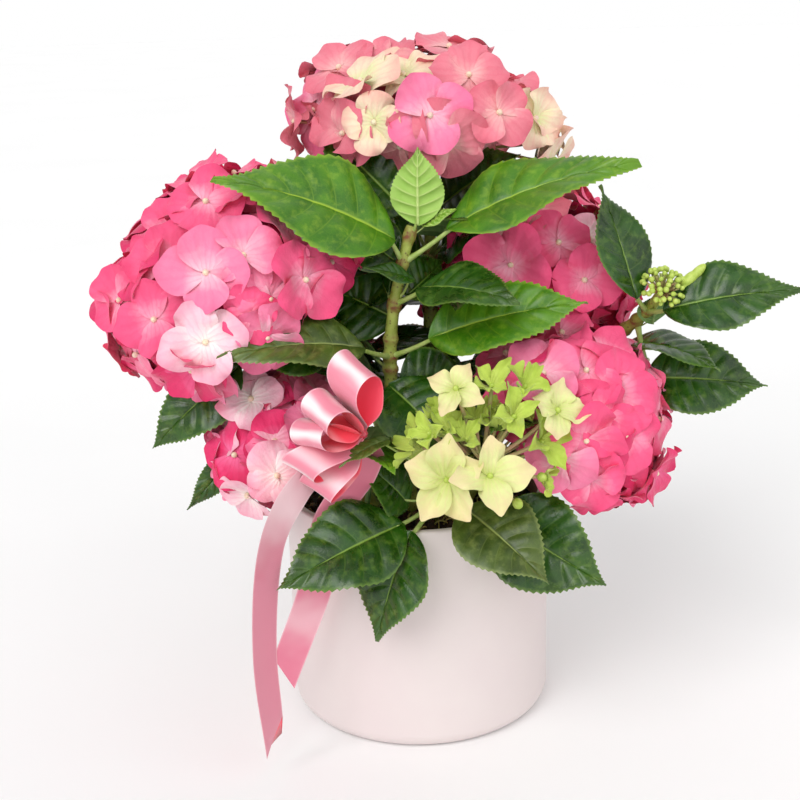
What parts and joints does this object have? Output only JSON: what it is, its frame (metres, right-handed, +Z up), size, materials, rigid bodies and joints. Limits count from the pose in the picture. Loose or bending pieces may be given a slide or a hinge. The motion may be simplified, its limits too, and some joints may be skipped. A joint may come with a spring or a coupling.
{
  "type": "potted hydrangea shrub",
  "caption": "Small flowering shrub with broad leaves and domed flower clusters in a straight round pot, with a ribbon bow; it stands on the pot's flat underside.",
  "frame": {"origin": "centre of the pot's flat underside, on the surface that it stands on", "axes": "+Z up; -Y towards the side that the bow is on, +X to the right of it"},
  "size_m": [0.3748, 0.2631, 0.381],
  "materials": {
    "pot": "matte blush-pink glaze",
    "soil": "moist dark compost with bark and moss bits",
    "cane": "smooth yellow-green bark with brown-red nodes and specks",
    "leaf": "glossy dark green above, paler and matte below, pale veins",
    "rose_flower": "soft matte rose-pink petals",
    "blush_flower": "soft matte pale pink petals",
    "lime_flower": "soft matte lime-cream petals and buds",
    "ribbon": "pink satin with a soft sheen",
    "pick": "green-stained stick"
  },
  "bodies": {
    "root": {"pot": "pot", "soil": "soil", "stem_centre": "cane", "leaves_centre": "leaf", "stem_top": "cane", "leaves_top": "leaf", "head_top": "blush_flower", "stem_left": "cane", "leaves_left": "leaf", "head_left": "rose_flower", "stem_right_high": "cane", "leaves_right_high": "leaf", "head_right_high": "rose_flower", "stem_green": "cane", "leaves_green": "leaf", "head_green": "lime_flower", "stem_right_low": "cane", "leaves_right_low": "leaf", "head_right_low": "rose_flower", "stem_left_low": "cane", "leaves_left_low": "leaf", "head_left_low": "blush_flower", "stem_bud": "cane", "leaves_bud": "leaf", "head_bud": "lime_flower", "stem_back_left": "cane", "leaves_back_left": "leaf", "head_back_left": "rose_flower", "stem_back_right": "cane", "leaves_back_right": "leaf", "head_back_right": "rose_flower", "bow": "ribbon", "bow_pick": "pick"}
  },
  "joints": []
}
